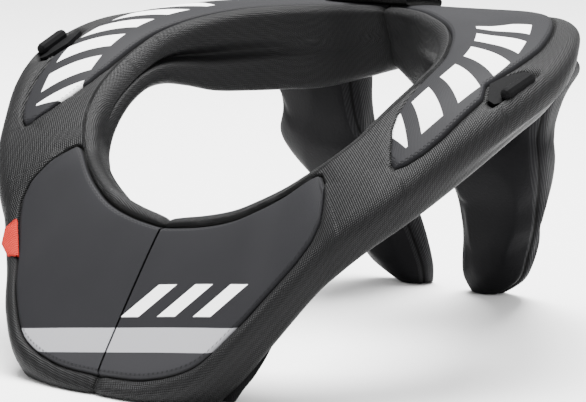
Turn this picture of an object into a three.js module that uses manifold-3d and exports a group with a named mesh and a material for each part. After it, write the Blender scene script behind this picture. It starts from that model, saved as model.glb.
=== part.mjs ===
// Padded neck brace for off-road motorcycling. Two foam halves, split at the front and the back, make
// a ring round the neck. Each half has a sloping chest part, a shoulder wing and a thick roll at the
// neck. Smooth panels are let into the mesh cover, and two foam flaps hang behind the shoulders.
// Millimetres, +Z up. The wearer faces -Y, and the wearer's left is +X. The origin is on the surface
// that the brace stands on, under the middle of its box.

import * as THREE from "three";
import { mergeVertices } from "three/addons/utils/BufferGeometryUtils.js";
import Module from "manifold-3d";

// Driving sizes
const neckWidth = 156; // between the rims, side to side
const neckLength = 168; // between the rims, front to back
const collarHeight = 150; // rear rim above the floor
const wingReach = 66.5; // from the rim out to the edge of the shoulder wing
const foamDepth = 19; // usual depth of the foam walls
const rimRound = 6; // rounding of the rim at the neck
const edgeRound = 6.5; // rounding of the outer edge
const splitGap = 1; // between the two halves, front and back
const panelThickness = 2; // smooth panel let into the foam
const panelProud = 0.4; // how far a panel stands out of the mesh
const fitGap = 0.3; // clearance between pieces that touch
const flapHeight = 134; // from a flap's foot to its hidden top
const flapWidth = 88; // from the middle out to a flap's widest point
const flapDepth = 19; // foam of a flap near its top
const lapThickness = 6; // tongue of the right half over the left one, at the back
const tabProud = 1.4; // how far the hard pad stands out of the wing's foam
const tabSeat = 1.2; // how deep it is let in
const barLength = 22; // rounded bar on the pad
const barRadius = 3;
const pullLength = 20; // red loop sewn along the edge at the wearer's right
const pullReach = 7;
const pullThickness = 2.2;
const strapThickness = 8.5; // folded webbing under the left chest part

// Cross-sections of the left half, from the front split round to the rear split, one row each.
// turn is the outward direction in degrees from straight ahead. side and along place the rim, as
// shares of half the neck's width and length. rise and edge are the heights of the rim and of the
// outer edge, as shares of the collar's height. reach is a share of the wing's reach. The rest are
// shares of the foam's depth: crown is the bulge of the top, drop and lean are how far the neck wall
// goes down and in, fall and tuck the same for the outer wall, and crease is the depth of the fold.
const collarColumns = [
  "turn", "side", "along", "rise", "reach", "edge", "crown", "drop", "lean", "fall", "tuck", "crease",
];
const collarRows = [
  [0, 0.0, -0.983, 0.481, 0.82, 0.01, 0.02, 0.5, 0.69, 0.5, 0.69, 0],
  [9.5, 0.22, -0.95, 0.497, 0.86, 0.02, 0.02, 0.5, 0.69, 0.6, 0.69, 0],
  [17.5, 0.415, -0.91, 0.522, 0.865, 0.075, 0.02, 0.54, 0.66, 1.0, 0.66, 0],
  [24, 0.56, -0.86, 0.557, 0.792, 0.185, 0.02, 0.57, 0.63, 1.15, 0.56, 0],
  [30, 0.683, -0.797, 0.595, 0.69, 0.3, 0.02, 0.65, 0.58, 1.1, 0.42, 0],
  [43, 0.768, -0.73, 0.63, 0.647, 0.43, 0.08, 0.78, 0.5, 1.05, 0.28, 0],
  [49, 0.83, -0.66, 0.66, 0.68, 0.505, 0.1, 0.9, 0.45, 1.05, 0.22, 0],
  [55, 0.89, -0.588, 0.693, 0.713, 0.563, 0.12, 0.92, 0.42, 1.0, 0.2, 0],
  [63, 0.945, -0.49, 0.731, 0.747, 0.633, 0.15, 0.82, 0.42, 1.05, 0.2, 0],
  [70, 0.98, -0.37, 0.778, 0.79, 0.7, 0.2, 0.75, 0.42, 1.08, 0.22, 0.05],
  [77, 1.0, -0.22, 0.823, 0.86, 0.772, 0.26, 0.72, 0.4, 1.02, 0.2, 0.12],
  [84, 1.01, -0.05, 0.867, 0.925, 0.835, 0.3, 0.82, 0.38, 0.88, 0.18, 0.2],
  [91, 1.0, 0.13, 0.911, 0.95, 0.88, 0.28, 1.15, 0.32, 0.82, 0.18, 0.3],
  [99, 0.94, 0.28, 0.943, 0.98, 0.918, 0.24, 1.55, 0.25, 0.7, 0.18, 0.36],
  [106, 0.84, 0.435, 0.968, 1.0, 0.94, 0.2, 1.95, 0.15, 0.65, 0.2, 0.36],
  [115, 0.695, 0.59, 0.987, 1.03, 0.952, 0.18, 2.15, 0.02, 0.7, 0.22, 0.28],
  [126, 0.51, 0.74, 0.996, 1.02, 0.958, 0.16, 2.2, -0.05, 0.9, 0.22, 0.16],
  [138, 0.33, 0.875, 1.0, 0.89, 0.96, 0.14, 2.2, -0.2, 1.2, 0.2, 0.05],
  [155, 0.16, 0.965, 1.0, 0.67, 0.962, 0.14, 1.98, -0.35, 1.4, 0.15, 0],
  [180, 0.0, 1.0, 1.0, 0.57, 0.962, 0.14, 1.66, -0.6, 1.4, 0.1, 0],
];

// Seams of the smooth panels: station counts rows of the table above, and inner and outer are shares
// of the way from the rim to the outer edge.
const seamColumns = ["station", "inner", "outer"];
const chestSeams = [
  [0.0, 0.07, 0.91],
  [2.0, 0.08, 0.91],
  [3.0, 0.09, 0.89],
  [3.7, 0.1, 0.87],
  [4.5, 0.11, 0.85],
  [4.9, 0.12, 0.81],
  [5.25, 0.13, 0.71],
  [5.55, 0.15, 0.5],
  [5.75, 0.19, 0.32],
];
const shoulderSeams = [
  [7.9, 0.68, 0.74],
  [8.2, 0.52, 0.79],
  [8.7, 0.34, 0.82],
  [9.3, 0.22, 0.82],
  [10.0, 0.15, 0.79],
  [10.6, 0.12, 0.77],
  [11.0, 0.11, 0.68],
  [11.6, 0.1, 0.7],
  [12.2, 0.09, 0.73],
  [13.0, 0.08, 0.78],
  [14.0, 0.08, 0.81],
  [15.0, 0.08, 0.82],
  [16.0, 0.09, 0.84],
  [17.0, 0.11, 0.86],
  [19.0, 0.17, 0.84],
];

// The hard pad's outline on the foam, in the same way.
const tabSeams = [
  [10.6, 0.82, 0.88],
  [10.75, 0.76, 0.94],
  [11.05, 0.7, 0.95],
  [11.6, 0.74, 0.95],
  [11.9, 0.8, 0.92],
];
const barShare = 0.89; // where the bar lies on the foam, rim to outer edge

// The tongue at the back: offset counts stations from the rear split, to the right where it is less
// than nothing. inner and outer are its edges, and height is a share of its thickness.
const lapColumns = ["offset", "inner", "outer", "height"];
const lapRows = [
  [-1.9, 0.24, 0.6, 0.12],
  [-1.4, 0.18, 0.66, 0.6],
  [-0.8, 0.15, 0.7, 0.9],
  [-0.2, 0.13, 0.72, 1.0],
  [0.3, 0.13, 0.72, 1.05],
  [0.6, 0.15, 0.7, 1.0],
  [0.75, 0.17, 0.68, 0.8],
];

// Level sections of the left flap, from its hidden top down to its foot. level is a share of the
// flap's height, and innerSide and outerSide are shares of its width. innerBack and outerBack place
// its front face behind the middle of the neck, as shares of half the neck's length. innerDepth and
// outerDepth are shares of the flap's depth of foam.
const flapColumns = ["level", "innerSide", "outerSide", "innerBack", "outerBack", "innerDepth", "outerDepth"];
const flapRows = [
  [1.0, 0.32, 1.1, 1.08, 1.2, 0.45, 0.45],
  [0.94, 0.25, 1.11, 1.05, 1.27, 0.95, 0.9],
  [0.84, 0.24, 1.02, 1.05, 1.27, 1.05, 1.15],
  [0.7, 0.22, 0.94, 1.08, 1.28, 0.95, 1.25],
  [0.6, 0.205, 0.935, 1.19, 1.24, 0.9, 1.2],
  [0.5, 0.185, 0.885, 1.32, 1.32, 0.85, 0.95],
  [0.4, 0.165, 0.815, 1.46, 1.43, 0.75, 0.6],
  [0.3, 0.15, 0.745, 1.54, 1.52, 0.7, 0.45],
  [0.2, 0.135, 0.665, 1.61, 1.62, 0.65, 0.4],
  [0.1, 0.12, 0.575, 1.67, 1.68, 0.6, 0.38],
  [0.045, 0.13, 0.49, 1.7, 1.72, 0.55, 0.38],
  [0.0, 0.16, 0.35, 1.75, 1.75, 0.5, 0.4],
];

// Outline of the red loop: along is a share of half its length, and outwards a share of its reach.
// Its straight side lies on the seam of the chest panel.
const pullStation = 4.25;
const pullShare = 0.885;
const pullColumns = ["along", "outwards"];
const pullOutline = [
  [-1, 0],
  [-0.85, 0.6],
  [-0.1, 1],
  [0.7, 0.7],
  [1, 0],
];

// The folded webbing under the left chest part: near and far are shares of the way from the outer
// wall's foot to the neck wall's heel, and height is a share of its thickness.
const strapColumns = ["station", "near", "far", "height"];
const strapRows = [
  [2.3, 0.03, 0.28, 0.4],
  [2.55, 0.0, 0.36, 0.85],
  [2.85, -0.02, 0.4, 1.0],
  [3.1, 0.0, 0.4, 0.85],
  [3.45, 0.0, 0.36, 0.6],
  [3.75, 0.02, 0.28, 0.35],
  [3.95, 0.05, 0.2, 0.12],
];
const strapMiddle = 0.33; // where it is thickest, from its near edge to its far edge
const strapTaper = 1.7; // how fast it thins to both sides
const strapOverlap = 5; // how far its uncut top reaches into the foam

// Bulges, as shares of the length of the side that swells, and the fold across the neck wall
const wallBulge = 0.03;
const neckBulge = -0.03; // a little hollow
const flapBulge = 0.04;
const foldWidth = 0.16;
const cornerShare = 0.42; // most that a round corner takes of the side next to it
const lapEdge = 0.15; // height of the tongue at its two long edges, as a share of its middle's
const slopeStep = 0.04; // of a station, or of the way outwards, over which a slope is measured

// Counts of steps, where more makes a smoother shape
const stationSteps = 2; // sections between two rows
const topSteps = 5;
const wallSteps = 6;
const cornerSteps = 3;
const underSteps = 3;
const panelSteps = 4;
const panelRings = 2.4; // sections of a panel between two rows
const flapSteps = 2;
const flapFaceSteps = 4;
const lapSteps = 4;
const strapSteps = 4;
const barRounds = 3; // rings of each round end of the bar
const barSides = 10;

const wasm = await Module();
wasm.setup();

const radians = THREE.MathUtils.degToRad;
const lerp = THREE.MathUtils.lerp;

// A value between the rows of a table, on a smooth curve through them.
function smooth(a, b, c, d, f) {
  const slopeB = (c - a) / 2;
  const slopeC = (d - b) / 2;
  const g = f * f;
  const h = g * f;
  return b * (2 * h - 3 * g + 1) + slopeB * (h - 2 * g + f) + c * (3 * g - 2 * h) + slopeC * (h - g);
}

function rowAt(columns, rows, place) {
  const last = rows.length - 1;
  const i = Math.min(Math.floor(place), last - 1);
  const pick = (k, j) => rows[Math.min(Math.max(k, 0), last)][j];
  const row = {};
  columns.forEach((name, j) => {
    row[name] = smooth(pick(i - 1, j), pick(i, j), pick(i + 1, j), pick(i + 2, j), place - i);
  });
  return row;
}

// A seam's shares at a station, straight between the rows of its table.
function seamAt(rows, station) {
  let i = 0;
  while (i < rows.length - 2 && rows[i + 1][0] < station) i += 1;
  const [from, to] = [rows[i], rows[i + 1]];
  const f = THREE.MathUtils.clamp((station - from[0]) / (to[0] - from[0]), 0, 1);
  return { inner: lerp(from[1], to[1], f), outer: lerp(from[2], to[2], f) };
}

// The frame of one cross-section: where its rim is, which way is out, and its sizes in millimetres.
function sectionFrame(station) {
  const row = rowAt(collarColumns, collarRows, station);
  const turn = radians(row.turn);
  return {
    rim: new THREE.Vector3(
      splitGap / 2 + (row.side * neckWidth) / 2,
      (row.along * neckLength) / 2,
      row.rise * collarHeight,
    ),
    out: new THREE.Vector3(Math.sin(turn), -Math.cos(turn), 0),
    reach: row.reach * wingReach,
    sink: (row.rise - row.edge) * collarHeight,
    crown: row.crown * foamDepth,
    drop: row.drop * foamDepth,
    lean: row.lean * foamDepth,
    fall: row.fall * foamDepth,
    tuck: row.tuck * foamDepth,
    crease: row.crease * foamDepth,
  };
}

// A point of a section, from its distance outwards and its height above the rim.
function inSpace(frame, outward, up) {
  const point = frame.rim.clone().addScaledVector(frame.out, outward);
  point.z += up;
  return point;
}

// The top of the foam, a share of the way from the rim to the outer edge.
function topPoint(station, share) {
  const frame = sectionFrame(station);
  const up = -share * frame.sink + 4 * frame.crown * share * (1 - share);
  return inSpace(frame, share * frame.reach, up);
}

function topNormal(station, share) {
  const alongRing = topPoint(station + slopeStep, share).sub(topPoint(station - slopeStep, share));
  const outwards = topPoint(station, share + slopeStep).sub(topPoint(station, share - slopeStep));
  return outwards.cross(alongRing).normalize();
}

// A side of an outline: a line with a bulge, which leaves room for a round corner at each end.
function sidePoints(from, to, bulge, steps, skipFrom, skipTo) {
  const way = to.clone().sub(from);
  const length = way.length();
  const outside = new THREE.Vector2(-way.y, way.x).normalize();
  const start = skipFrom / length;
  const end = 1 - skipTo / length;
  const points = [];
  for (let i = 0; i <= steps; i += 1) {
    const share = lerp(start, end, i / steps);
    const height = 4 * bulge * share * (1 - share);
    points.push(from.clone().addScaledVector(way, share).addScaledVector(outside, height));
  }
  return points;
}

// A round corner between the end of one side and the start of the next.
function cornerPoints(before, corner, after) {
  const points = [];
  for (let i = 1; i < cornerSteps; i += 1) {
    const f = i / cornerSteps;
    points.push(
      before
        .clone()
        .multiplyScalar((1 - f) * (1 - f))
        .addScaledVector(corner, 2 * f * (1 - f))
        .addScaledVector(after, f * f),
    );
  }
  return points;
}

// The closed outline of a section, in its own plane: the top outwards, down the outer wall, back
// along the underside and up the neck wall. grow pushes every corner out, for a fitted cut.
function sectionLoop(station, grow) {
  const frame = sectionFrame(station);
  const corners = [
    new THREE.Vector2(0, 0),
    new THREE.Vector2(frame.reach, -frame.sink),
    new THREE.Vector2(frame.reach - frame.tuck, -frame.sink - frame.fall),
    new THREE.Vector2(-frame.lean, -frame.drop),
  ];
  const middle = new THREE.Vector2();
  corners.forEach((corner) => middle.addScaledVector(corner, 1 / corners.length));
  corners.forEach((corner) => {
    const away = corner.clone().sub(middle);
    corner.addScaledVector(away.normalize(), grow * Math.SQRT2);
  });
  const [rim, edge, foot, heel] = corners;
  const wall = Math.min(frame.fall, edge.distanceTo(foot));
  const edgeCut = Math.min(edgeRound, cornerShare * wall);
  const footCut = edgeCut;
  const heelCut = Math.min(edgeRound, cornerShare * rim.distanceTo(heel));
  const rimCut = Math.min(rimRound, cornerShare * rim.distanceTo(heel));
  const top = sidePoints(rim, edge, frame.crown, topSteps, rimCut, edgeCut);
  const outer = sidePoints(edge, foot, wallBulge * wall, 2, edgeCut, footCut);
  const under = sidePoints(foot, heel, 0, underSteps, footCut, heelCut);
  const roll = neckBulge * rim.distanceTo(heel);
  const neck = sidePoints(heel, rim, roll, wallSteps, heelCut, rimCut);
  neck.forEach((point, i) => {
    const share = i / wallSteps;
    const fold = Math.exp(-(((share - 0.5) / foldWidth) ** 2));
    point.x += frame.crease * fold;
  });
  const outline = [
    ...top,
    ...cornerPoints(top.at(-1), edge, outer[0]),
    ...outer,
    ...cornerPoints(outer.at(-1), foot, under[0]),
    ...under,
    ...cornerPoints(under.at(-1), heel, neck[0]),
    ...neck,
    ...cornerPoints(neck.at(-1), rim, top[0]),
  ];
  return { frame, outline };
}

// A closed solid through rings of points of one length. Each end is a fan from its middle.
function solidFromRings(rings) {
  const count = rings[0].length;
  const middles = [rings[0], rings.at(-1)].map((ring) => {
    const middle = new THREE.Vector3();
    ring.forEach((point) => middle.addScaledVector(point, 1 / count));
    return middle;
  });
  const positions = [...rings.flat(), ...middles].flatMap((p) => [p.x, p.y, p.z]);
  const lastRing = (rings.length - 1) * count;
  const front = rings.length * count;
  const triangles = [];
  for (let j = 0; j < count; j += 1) {
    const next = (j + 1) % count;
    for (let start = 0; start < lastRing; start += count) {
      const [a, b] = [start + j, start + next];
      triangles.push(a, b, b + count, a, b + count, a + count);
    }
    triangles.push(front, next, j, front + 1, lastRing + j, lastRing + next);
  }
  return solidFrom(positions, triangles);
}

function solidFrom(positions, triangles) {
  const geometry = new THREE.BufferGeometry();
  geometry.setAttribute("position", new THREE.Float32BufferAttribute(positions, 3));
  geometry.setIndex(triangles);
  const merged = mergeVertices(geometry, 1e-4);
  const solid = new wasm.Manifold(
    new wasm.Mesh({
      numProp: 3,
      vertProperties: new Float32Array(merged.attributes.position.array),
      triVerts: new Uint32Array(merged.index.array),
    }),
  );
  return solid.volume() < 0 ? solidFrom(positions, triangles.slice().reverse()) : solid;
}

function solidOf(geometry) {
  const plain = new THREE.BufferGeometry();
  plain.setAttribute("position", geometry.getAttribute("position"));
  plain.setIndex(geometry.index);
  const merged = mergeVertices(plain, 1e-4);
  return solidFrom(Array.from(merged.attributes.position.array), Array.from(merged.index.array));
}

function geometryOf(solid) {
  const mesh = solid.getMesh();
  const geometry = new THREE.BufferGeometry();
  const positions = new Float32Array(mesh.numVert * 3);
  for (let i = 0; i < mesh.numVert; i += 1) {
    positions.set(mesh.vertProperties.subarray(i * mesh.numProp, i * mesh.numProp + 3), i * 3);
  }
  geometry.setAttribute("position", new THREE.BufferAttribute(positions, 3));
  geometry.setIndex(new THREE.BufferAttribute(new Uint32Array(mesh.triVerts), 1));
  return geometry;
}

// The left half's foam, before its pockets are cut. grow is for what fits round it.
function collarFoam(grow = 0) {
  const last = collarRows.length - 1;
  const sections = [];
  for (let i = 0; i <= last * stationSteps; i += 1) {
    sections.push(sectionLoop(i / stationSteps, grow));
  }
  const rings = sections.map(({ frame, outline }) => outline.map((p) => inSpace(frame, p.x, p.y)));
  return solidFromRings(rings);
}

// A smooth panel between its two seams. top and bottom are heights over the foam, and margin widens
// it all round, for the pocket that holds it.
function panelSkin(seams, top, bottom, margin) {
  const first = seams[0][0];
  const last = seams.at(-1)[0];
  const count = Math.round((last - first) * panelRings);
  const stations = Array.from({ length: count + 1 }, (_, i) => lerp(first, last, i / count));
  const rings = stations.map((station) => {
    const { inner, outer } = seamAt(seams, station);
    const reach = sectionFrame(station).reach;
    const spread = margin / reach;
    const upper = [];
    const lower = [];
    for (let i = 0; i <= panelSteps; i += 1) {
      const share = lerp(inner - spread, outer + spread, i / panelSteps);
      const normal = topNormal(station, share);
      const point = topPoint(station, share);
      upper.push(point.clone().addScaledVector(normal, top));
      lower.push(point.clone().addScaledVector(normal, bottom));
    }
    return [...upper, ...lower.reverse()];
  });
  const stretch = (ring, towards) => {
    const way = ring[0].clone().sub(towards[0]).setZ(0).normalize();
    ring.forEach((point) => point.addScaledVector(way, margin));
  };
  if (margin > 0) {
    stretch(rings[0], rings[1]);
    stretch(rings.at(-1), rings.at(-2));
  }
  return solidFromRings(rings);
}

function panelSolid(seams) {
  return panelSkin(seams, panelProud, panelProud - panelThickness, 0);
}

function panelPocket(seams) {
  return panelSkin(seams, foamDepth / 2, panelProud - panelThickness - fitGap, fitGap);
}

// The left flap: level sections with round corners, joined from the top to the foot.
function flapFoam() {
  const rings = [];
  const last = flapRows.length - 1;
  for (let i = 0; i <= last * flapSteps; i += 1) {
    const row = rowAt(flapColumns, flapRows, i / flapSteps);
    const inner = new THREE.Vector2(row.innerSide * flapWidth, (row.innerBack * neckLength) / 2);
    const outer = new THREE.Vector2(row.outerSide * flapWidth, (row.outerBack * neckLength) / 2);
    const across = outer.clone().sub(inner).normalize();
    const backwards = new THREE.Vector2(-across.y, across.x);
    const innerRear = inner.clone().addScaledVector(backwards, row.innerDepth * flapDepth);
    const outerRear = outer.clone().addScaledVector(backwards, row.outerDepth * flapDepth);
    const innerCut = cornerShare * row.innerDepth * flapDepth;
    const outerCut = cornerShare * row.outerDepth * flapDepth;
    const bulge = -flapBulge * flapWidth;
    const front = sidePoints(inner, outer, bulge, flapFaceSteps, innerCut, outerCut);
    const side = sidePoints(outer, outerRear, 0, 1, outerCut, outerCut);
    const rear = sidePoints(outerRear, innerRear, bulge / 2, flapFaceSteps, outerCut, innerCut);
    const slot = sidePoints(innerRear, inner, 0, 1, innerCut, innerCut);
    const outline = [
      ...front,
      ...cornerPoints(front.at(-1), outer, side[0]),
      ...side,
      ...cornerPoints(side.at(-1), outerRear, rear[0]),
      ...rear,
      ...cornerPoints(rear.at(-1), innerRear, slot[0]),
      ...slot,
      ...cornerPoints(slot.at(-1), inner, front[0]),
    ];
    rings.push(outline.map((p) => new THREE.Vector3(p.x, p.y, row.level * flapHeight)));
  }
  return solidFromRings(rings);
}

// A block under the floor, which leaves flat feet on what reaches below it.
function floorBlock() {
  const size = 4 * neckLength;
  const block = new THREE.BoxGeometry(size, size, collarHeight);
  block.translate(0, 0, -collarHeight / 2);
  return solidOf(block);
}

// A frame on the foam: its X along the ring, its Y inwards to the neck and its Z out of the foam.
function placeOnTop(station, share, lift) {
  const normal = topNormal(station, share);
  const along = topPoint(station + slopeStep, share).sub(topPoint(station - slopeStep, share));
  along.addScaledVector(normal, -along.dot(normal)).normalize();
  const across = normal.clone().cross(along);
  const place = topPoint(station, share).addScaledVector(normal, lift);
  return new THREE.Matrix4().makeBasis(along, across, normal).setPosition(place);
}

// The hard pad on the wing: a plate that follows the foam, with a rounded bar along it.
function tabSkin(margin) {
  return panelSkin(tabSeams, tabProud + margin, -tabSeat - margin, margin);
}

function shoulderTab() {
  const middle = (tabSeams[0][0] + tabSeams.at(-1)[0]) / 2;
  const bar = new THREE.CapsuleGeometry(barRadius, barLength - 2 * barRadius, barRounds, barSides);
  bar.rotateZ(Math.PI / 2);
  bar.applyMatrix4(placeOnTop(middle, barShare, tabProud + barRadius / 2));
  return tabSkin(0).add(solidOf(bar));
}

// The tongue of the right half, which lies over the rear split on top of both panels.
function rearLap() {
  const floorLift = panelProud + fitGap;
  const last = collarRows.length - 1;
  const rings = [];
  for (let i = 0; i <= (lapRows.length - 1) * 2; i += 1) {
    const row = rowAt(lapColumns, lapRows, i / 2);
    const station = last - Math.abs(row.offset);
    const mirror = row.offset < 0 ? -1 : 1;
    const upper = [];
    const lower = [];
    for (let j = 0; j <= lapSteps; j += 1) {
      const across = j / lapSteps;
      const share = lerp(row.inner, row.outer, across);
      const normal = topNormal(station, share);
      const dome = Math.sqrt(Math.max(0, 1 - (2 * across - 1) ** 4));
      const height = floorLift + row.height * lapThickness * lerp(lapEdge, 1, dome);
      const high = topPoint(station, share).addScaledVector(normal, height);
      const low = topPoint(station, share).addScaledVector(normal, floorLift);
      [high, low].forEach((point) => point.setX(point.x * mirror));
      upper.push(high);
      lower.push(low);
    }
    rings.push([...upper, ...lower.reverse()]);
  }
  return solidFromRings(rings);
}

// The red loop: a flat piece, which lies on the edge of the chest part and stands out of it.
function redPull(margin) {
  const [along, outwards] = ["along", "outwards"].map((name) => pullColumns.indexOf(name));
  const shape = new THREE.Shape(
    pullOutline.map((row) => {
      const x = row[along] * (pullLength / 2 + margin);
      const y = lerp(margin, -pullReach - margin, row[outwards]);
      return new THREE.Vector2(x, y);
    }),
  );
  const depth = pullThickness + 2 * margin;
  const geometry = new THREE.ExtrudeGeometry(shape, { depth, bevelEnabled: false });
  geometry.translate(0, 0, -depth / 2);
  geometry.applyMatrix4(placeOnTop(pullStation, pullShare, 0));
  return solidOf(geometry);
}

// A point under the foam, a share of the way from the outer wall's foot to the neck wall's heel.
function underPoint(station, share, away) {
  const frame = sectionFrame(station);
  const foot = new THREE.Vector2(frame.reach - frame.tuck, -frame.sink - frame.fall);
  const heel = new THREE.Vector2(-frame.lean, -frame.drop);
  const way = heel.clone().sub(foot);
  const down = new THREE.Vector2(-way.y, way.x).normalize();
  const point = foot.addScaledVector(way, share).addScaledVector(down, away);
  return inSpace(frame, point.x, point.y);
}

// The folded webbing, fitted to the underside of the foam.
function chestStrap() {
  const rings = [];
  for (let i = 0; i <= (strapRows.length - 1) * 2; i += 1) {
    const row = rowAt(strapColumns, strapRows, i / 2);
    const under = [];
    const top = [];
    for (let j = 0; j <= strapSteps; j += 1) {
      const across = j / strapSteps;
      const share = lerp(row.near, row.far, across);
      const bulge = 1 - strapTaper * (across - strapMiddle) ** 2;
      under.push(underPoint(row.station, share, fitGap + row.height * strapThickness * bulge));
      top.push(underPoint(row.station, share, -strapOverlap));
    }
    rings.push([...under, ...top.reverse()]);
  }
  return solidFromRings(rings).subtract(collarFoam(fitGap));
}

const floor = floorBlock();
const flap = flapFoam().subtract(collarFoam(fitGap)).subtract(floor);
const chest = panelSolid(chestSeams);
const shoulder = panelSolid(shoulderSeams).subtract(tabSkin(fitGap));
const tab = shoulderTab();
const half = collarFoam()
  .subtract(panelPocket(chestSeams))
  .subtract(panelPocket(shoulderSeams))
  .subtract(tabSkin(fitGap))
  .subtract(floor);
const rightHalf = half.subtract(redPull(fitGap));

const finishes = {
  mesh: { color: 0x2b2b2d, roughness: 0.85, metalness: 0 },
  panel: { color: 0x47474c, roughness: 0.7, metalness: 0 },
  flap: { color: 0x1d1d1f, roughness: 0.8, metalness: 0 },
  hard: { color: 0x18181a, roughness: 0.45, metalness: 0 },
  red: { color: 0xd04a3c, roughness: 0.7, metalness: 0 },
  strap: { color: 0x0e0e0f, roughness: 0.8, metalness: 0 },
};

const brace = new THREE.Group();

function addPiece(name, solid, finish, mirrored = false) {
  const geometry = geometryOf(solid);
  if (mirrored) {
    geometry.scale(-1, 1, 1);
    const index = geometry.index.array;
    for (let i = 0; i < index.length; i += 3) [index[i], index[i + 1]] = [index[i + 1], index[i]];
  }
  geometry.computeVertexNormals();
  const mesh = new THREE.Mesh(geometry, new THREE.MeshStandardMaterial(finishes[finish]));
  mesh.name = name;
  brace.add(mesh);
}

[
  ["left", false],
  ["right", true],
].forEach(([sideName, mirrored]) => {
  addPiece(`collar_${sideName}`, mirrored ? rightHalf : half, "mesh", mirrored);
  addPiece(`chest_panel_${sideName}`, chest, "panel", mirrored);
  addPiece(`shoulder_panel_${sideName}`, shoulder, "panel", mirrored);
  addPiece(`back_flap_${sideName}`, flap, "flap", mirrored);
  addPiece(`shoulder_tab_${sideName}`, tab, "hard", mirrored);
});
addPiece("rear_lap", rearLap(), "panel");
addPiece("red_pull_right", redPull(0), "red", true);
addPiece("chest_strap_left", chestStrap().subtract(floor), "strap");

// The whole model is centred front to back over its box.
const box = new THREE.Box3().setFromObject(brace);
brace.position.y = -(box.min.y + box.max.y) / 2;

export default brace;
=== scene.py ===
"""Looks of the neck brace: foam halves in mesh cover, let-in panels, flaps, pads and trim.

Every shape here is a surface over two parameters, worked out as whole numpy arrays in millimetres
and put into a mesh in metres. The foam is drawn from the same cross-sections as the solids.
"""

import math

import bpy
import numpy as np
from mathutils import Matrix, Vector


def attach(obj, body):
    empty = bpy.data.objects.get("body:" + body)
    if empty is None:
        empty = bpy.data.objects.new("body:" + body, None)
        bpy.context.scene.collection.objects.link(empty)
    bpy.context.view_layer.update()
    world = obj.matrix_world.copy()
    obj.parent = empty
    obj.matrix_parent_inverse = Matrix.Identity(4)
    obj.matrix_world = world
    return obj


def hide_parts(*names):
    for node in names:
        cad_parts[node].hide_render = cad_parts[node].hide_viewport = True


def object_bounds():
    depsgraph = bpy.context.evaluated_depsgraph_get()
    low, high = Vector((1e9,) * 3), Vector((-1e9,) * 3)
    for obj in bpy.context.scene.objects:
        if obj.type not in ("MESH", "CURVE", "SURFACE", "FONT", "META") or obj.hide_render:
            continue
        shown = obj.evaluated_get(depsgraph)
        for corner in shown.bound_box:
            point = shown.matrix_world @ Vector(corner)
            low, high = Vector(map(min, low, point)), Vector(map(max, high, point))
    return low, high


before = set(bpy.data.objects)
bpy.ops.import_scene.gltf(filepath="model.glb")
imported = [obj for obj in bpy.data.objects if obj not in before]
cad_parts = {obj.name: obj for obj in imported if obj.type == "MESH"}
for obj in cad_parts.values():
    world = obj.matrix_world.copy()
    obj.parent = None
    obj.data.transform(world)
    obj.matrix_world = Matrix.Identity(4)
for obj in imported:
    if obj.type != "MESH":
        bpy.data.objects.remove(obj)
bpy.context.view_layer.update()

# Driving sizes, in millimetres, as in the solids
NECK_WIDTH = 156
NECK_LENGTH = 168
COLLAR_HEIGHT = 150
WING_REACH = 66.5
FOAM_DEPTH = 19
RIM_ROUND = 6
EDGE_ROUND = 6.5
SPLIT_GAP = 1.0
FLAP_HEIGHT = 134
FLAP_WIDTH = 88
FLAP_DEPTH = 19
BACK_SHIFT = 10.865  # the box's middle lies this far behind the middle of the neck
LAP_THICKNESS = 6
LAP_LIFT = 0.7
STRAP_THICKNESS = 8.5
STRAP_LIFT = 0.3
PULL_LENGTH = 20
PULL_REACH = 7
PULL_THICKNESS = 2.2
PULL_STATION = 4.25
PULL_SHARE = 0.885
PULL_PLACE = [0, 0.08, 0.45, 0.85, 1]  # of the way along the loop
PULL_ALONG = [-1, -0.85, -0.1, 0.7, 1]
PULL_OUT = [0, 0.6, 1, 0.7, 0]
WALL_PUFF = 0.03
NECK_PUFF = -0.03
FOLD_WIDTH = 0.16
CORNER_SHARE = 0.42

MM = 0.001
UP = np.array([0, 0, 1.0])
FAR = 12.0  # distances from a seam are cut off here
STATION_LENGTH = 12.0  # about one row of the table, along the ring
SLOPE_STEP = 0.02  # of a station and of a share, to find the slopes of the top
FLOOR_CLEARANCE = 0.1  # nothing soft comes lower
SEAM_WIDTH = 1.1  # of the bell that draws a cover in at its seam

# The foam: how fine it is, and what its cover does beside seams, along the wing and at the split
FOAM_STATIONS = 360
TOP_STEPS = 70
OUTER_STEPS = 20
UNDER_STEPS = 24
NECK_STEPS = 40
ROUND_STEPS = 9
WEAVE_START = 6.8  # the station from which lengths along the weave are measured
POCKET_DEPTH = 1.8
POCKET_WALL = (-1.2, 0.3)  # from outside the seam to inside it
ROLL_PUFF = 0.5
ROLL_WIDTH = 9
ROLL_END = 8
SPLIT_ROUND = 0.9
SPLIT_WIDTH = 3
SPLIT_TOUCH = 0.02  # the soft halves come this close to the middle, so little light shows through
EDGE_PUFF = 2.4
EDGE_FROM_SEAM = (0.2, 3.0)
EDGE_GROWS = (8, 10.5)  # stations
EDGE_FADES = (12, 15)
EDGE_STARTS = (TOP_STEPS * 0.75, TOP_STEPS + 4)  # points round the section
EDGE_ENDS = (TOP_STEPS + OUTER_STEPS * 0.6, TOP_STEPS + OUTER_STEPS + 14)
REAR_RISE_AT = 15.0
REAR_RISE_WIDTH = 2.2
REAR_RISE_SHARES = (0.35, 0.8)
REAR_RISE = 6.0

# The let-in panels
PANEL_STEPS = 48
CHEST_ROWS = 110
SHOULDER_ROWS = 190
PANEL_PROUD = 0.5
PANEL_DIP = 1.9
PANEL_PUFF = 0.8
PANEL_PUFF_WIDTH = 8

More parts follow.
